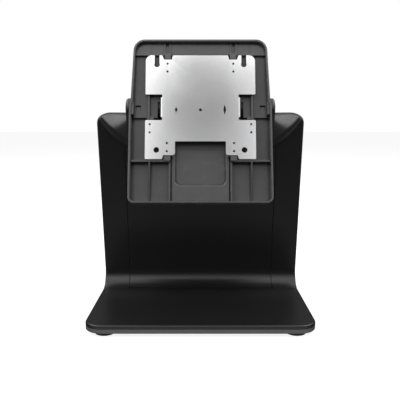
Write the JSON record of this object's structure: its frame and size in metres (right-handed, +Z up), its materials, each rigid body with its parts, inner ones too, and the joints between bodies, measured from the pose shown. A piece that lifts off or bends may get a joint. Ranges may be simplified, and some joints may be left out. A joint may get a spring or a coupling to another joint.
{
  "type": "pos touchscreen stand",
  "caption": "Counter-top tilting stand for a point-of-sale touchscreen: L-shaped black housing, hinged grey tray and a bright 100 mm mount plate.",
  "frame": {"origin": "on the surface it stands on, below the centre of the foot plate", "axes": "+Z up, -Y towards the user, +X to the user's right"},
  "size_m": [0.256, 0.205, 0.3263],
  "materials": {
    "gloss_black_plastic": "glossy black moulded housing",
    "grey_moulded_plastic": "dark grey satin moulding with a fine spark-eroded grain",
    "plated_sheet_steel": "bright plated sheet steel with a faint brushed grain",
    "painted_foot_plate": "charcoal powder coat",
    "grey_rubber": "matt charcoal rubber",
    "bare_steel": "zinc-plated steel",
    "black_steel": "black oxide screws and washers"
  },
  "bodies": {
    "stand": {"housing": "gloss_black_plastic", "rear_cover": "gloss_black_plastic", "foot_plate": "painted_foot_plate", "foot_front_left": "grey_rubber", "foot_front_right": "grey_rubber", "foot_rear_left": "grey_rubber", "foot_rear_right": "grey_rubber", "neck_cover_front": "gloss_black_plastic", "neck_cover_top": "gloss_black_plastic", "upright_frame": "bare_steel", "hinge_bracket_left": "bare_steel", "hinge_bracket_right": "bare_steel", "shell_screw_1": "black_steel", "shell_screw_2": "black_steel", "shell_screw_3": "black_steel", "shell_screw_4": "black_steel", "frame_screw_1": "bare_steel", "frame_screw_2": "bare_steel", "frame_screw_3": "bare_steel", "frame_screw_4": "bare_steel", "bracket_screw_left_1": "bare_steel", "bracket_screw_left_2": "bare_steel", "bracket_screw_right_1": "bare_steel", "bracket_screw_right_2": "bare_steel", "rear_cover_screw_left": "black_steel", "rear_cover_screw_right": "black_steel"},
    "head": {"head_tray": "grey_moulded_plastic", "mount_plate": "plated_sheet_steel", "hinge_shaft_left": "bare_steel", "hinge_shaft_right": "bare_steel", "friction_washer_left": "black_steel", "friction_washer_right": "black_steel", "spring_washer_left": "bare_steel", "spring_washer_right": "bare_steel", "hinge_nut_left": "bare_steel", "hinge_nut_right": "bare_steel"},
    "front_cover_body": {"front_cover": "gloss_black_plastic"}
  },
  "joints": [
    {"name": "head_tilt", "type": "hinge", "parent": "stand", "child": "head", "pos_m": [0, -0.0075, 0.2461], "axis": [-1, 0, 0], "range_deg": [-15, 60]},
    {"name": "front_cover_release", "type": "slide", "parent": "stand", "child": "front_cover_body", "axis": [0, -1, 0], "range_m": [0, 0.035]}
  ]
}
